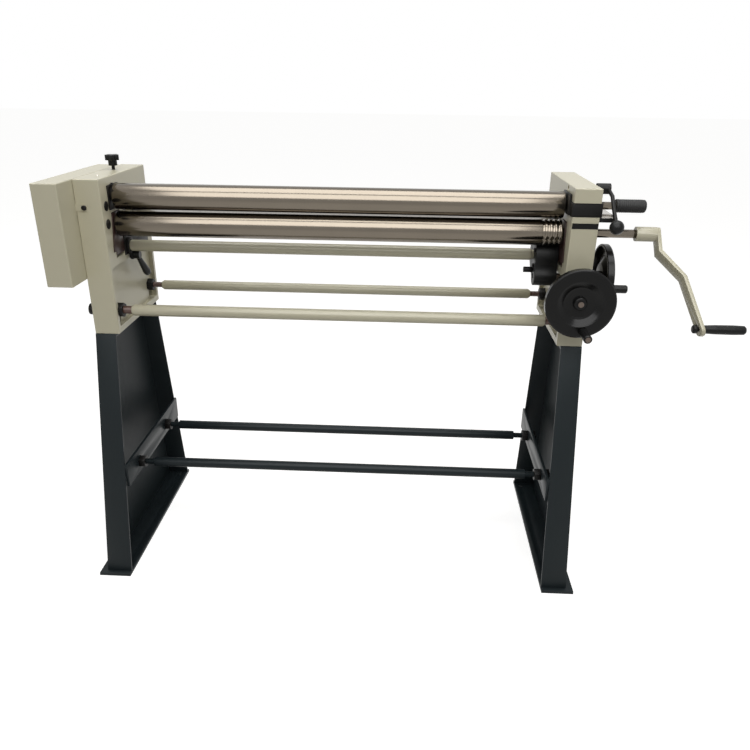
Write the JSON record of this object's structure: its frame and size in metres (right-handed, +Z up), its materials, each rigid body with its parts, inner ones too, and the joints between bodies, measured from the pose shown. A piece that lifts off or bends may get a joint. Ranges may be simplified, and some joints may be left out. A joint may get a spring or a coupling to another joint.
{
  "type": "slip roll machine",
  "caption": "Floor-standing hand-cranked slip roll that curves sheet metal between pinch rolls and a swinging rear roll, on a sheet steel stand with tie rods.",
  "frame": {"origin": "on the floor, at the centre of the four floor bolts", "axes": "+X along the rolls towards the crank, +Y to the rear, +Z up"},
  "size_m": [1.9544, 0.665, 1.297],
  "materials": {
    "beige_paint": "semi-gloss",
    "slate_paint": "semi-gloss",
    "black_paint": "satin",
    "black_steel": "blackened",
    "black_plastic": "satin",
    "black_rubber": "matte",
    "grey_steel": "machined",
    "bright_steel": "turned",
    "roll_steel": "ground",
    "oiled_iron": "oiled",
    "bronze": "machined"
  },
  "bodies": {
    "root": {"left_head": "beige_paint", "right_head": "beige_paint", "left_leg": "slate_paint", "right_leg": "slate_paint", "foot_plates": "slate_paint", "leg_braces": "slate_paint", "rear_tie_rod": "beige_paint", "front_stand_rod": "slate_paint", "rear_stand_rod": "slate_paint", "rod_nuts": "black_steel", "head_bolts": "black_steel", "gear_cover": "beige_paint", "cover_screw": "black_steel", "wall_plugs": "black_plastic", "seat_plate": "black_steel", "top_left_seat": "grey_steel", "slot_ledge": "bright_steel", "gear_housing": "black_paint", "housing_bolts": "black_steel", "shaft_bushes": "bronze", "wear_plates": "grey_steel", "lock_bracket": "black_steel"},
    "top_carrier": {"top_right_block": "black_steel", "top_left_ball": "grey_steel"},
    "top_roll": {"top_roll": "roll_steel", "top_roll_grip": "black_rubber"},
    "top_drive": {"top_gear": "grey_steel", "top_stub_shaft": "bright_steel"},
    "lower_carriage": {"lower_left_block": "oiled_iron", "lower_right_block": "oiled_iron", "push_rods": "bright_steel"},
    "lower_roll": {"lower_roll": "roll_steel", "lower_gear": "grey_steel", "crank_arm": "beige_paint", "crank_grip_bolt": "black_steel"},
    "crank_grip": {"crank_grip": "black_plastic"},
    "front_wheel": {"front_wheel": "black_plastic", "pressure_screw": "bright_steel", "front_grip_bolt": "bright_steel"},
    "front_grip": {"front_wheel_grip": "black_plastic"},
    "pressure_nut": {"pressure_nut": "bronze"},
    "pressure_shaft": {"pressure_shaft": "beige_paint", "left_lift_arm": "grey_steel", "bell_crank": "grey_steel", "shaft_collars": "black_steel"},
    "side_wheel": {"side_wheel": "black_plastic", "side_shaft": "bright_steel", "swing_pinion": "grey_steel", "side_grip_bolt": "bright_steel"},
    "side_grip": {"side_wheel_grip": "black_plastic"},
    "swing_carrier": {"swing_shaft": "bright_steel", "swing_gear": "grey_steel", "swing_arms": "grey_steel"},
    "rear_roll": {"rear_roll": "roll_steel"},
    "cam_lever": {"cam_lever": "black_steel", "cam_ball": "black_plastic", "cam_shaft": "bright_steel"},
    "lock_lever": {"lock_lever": "black_plastic"},
    "star_knob": {"star_knob": "black_plastic"}
  },
  "joints": [
    {"name": "top_swing", "type": "hinge", "parent": "root", "child": "top_carrier", "pos_m": [-0.697, -0.093, 1.1945], "axis": [0, 0, -1], "range_deg": [0, 8]},
    {"name": "top_roll_spin", "type": "hinge", "parent": "top_carrier", "child": "top_roll", "pos_m": [0, -0.093, 1.1945], "axis": [1, 0, 0], "continuous": true},
    {"name": "top_drive_spin", "type": "hinge", "parent": "root", "child": "top_drive", "pos_m": [-0.76, -0.093, 1.1945], "axis": [1, 0, 0], "continuous": true},
    {"name": "lower_lift", "type": "slide", "parent": "root", "child": "lower_carriage", "axis": [0, 0, 1], "range_m": [-0.008, 0.002]},
    {"name": "crank_spin", "type": "hinge", "parent": "lower_carriage", "child": "lower_roll", "pos_m": [0, -0.093, 1.1155], "axis": [1, 0, 0], "continuous": true},
    {"name": "crank_grip_spin", "type": "hinge", "parent": "lower_roll", "child": "crank_grip", "pos_m": [1.0754, -0.27941, 0.89335], "axis": [1, 0, 0], "continuous": true},
    {"name": "front_wheel_turn", "type": "hinge", "parent": "root", "child": "front_wheel", "pos_m": [0.696, -0.241, 0.948], "axis": [0, 1, 0], "range_deg": [-225, 895]},
    {"name": "front_grip_spin", "type": "hinge", "parent": "front_wheel", "child": "front_grip", "pos_m": [0.70989, -0.261, 0.86921], "axis": [0, 1, 0], "continuous": true},
    {"name": "nut_travel", "type": "slide", "parent": "root", "child": "pressure_nut", "axis": [0, 1, 0], "range_m": [-0.0034, 0.0128]},
    {"name": "pressure_shaft_turn", "type": "hinge", "parent": "root", "child": "pressure_shaft", "pos_m": [0, -0.148, 0.863], "axis": [1, 0, 0], "range_deg": [-9, 2.4]},
    {"name": "rear_swing", "type": "hinge", "parent": "root", "child": "swing_carrier", "pos_m": [0, -0.031, 1.035], "axis": [1, 0, 0], "range_deg": [-15, 43]},
    {"name": "rear_roll_spin", "type": "hinge", "parent": "swing_carrier", "child": "rear_roll", "pos_m": [0, 0.05092, 1.09236], "axis": [1, 0, 0], "continuous": true},
    {"name": "side_wheel_turn", "type": "hinge", "parent": "root", "child": "side_wheel", "pos_m": [0.76, -0.063, 0.97728], "axis": [1, 0, 0], "range_deg": [-100, 35]},
    {"name": "side_grip_spin", "type": "hinge", "parent": "side_wheel", "child": "side_grip", "pos_m": [0.795, -0.14178, 0.96339], "axis": [1, 0, 0], "continuous": true},
    {"name": "cam_lever_turn", "type": "hinge", "parent": "root", "child": "cam_lever", "pos_m": [0.74, -0.089, 1.241], "axis": [1, 0, 0], "range_deg": [-101, 1]},
    {"name": "lock_lever_turn", "type": "hinge", "parent": "root", "child": "lock_lever", "pos_m": [-0.637, -0.025, 1.004], "axis": [1, 0, 0], "range_deg": [-10, 35]},
    {"name": "star_knob_turn", "type": "hinge", "parent": "root", "child": "star_knob", "pos_m": [-0.704, 0.042, 1.28], "axis": [0, 0, 1], "range_deg": [-180, 180]}
  ],
  "couplings": [
    {"joint": "top_roll_spin", "follows": "crank_spin", "ratio": -1},
    {"joint": "top_drive_spin", "follows": "crank_spin", "ratio": -1},
    {"joint": "front_wheel_turn", "follows": "lower_lift", "rad_per_m": -1942.1},
    {"joint": "nut_travel", "follows": "lower_lift", "ratio": -1.5455},
    {"joint": "pressure_shaft_turn", "follows": "lower_lift", "rad_per_m": 18.182},
    {"joint": "cam_lever_turn", "follows": "top_swing", "ratio": -12.5},
    {"joint": "side_wheel_turn", "follows": "rear_swing", "ratio": -2.3}
  ]
}
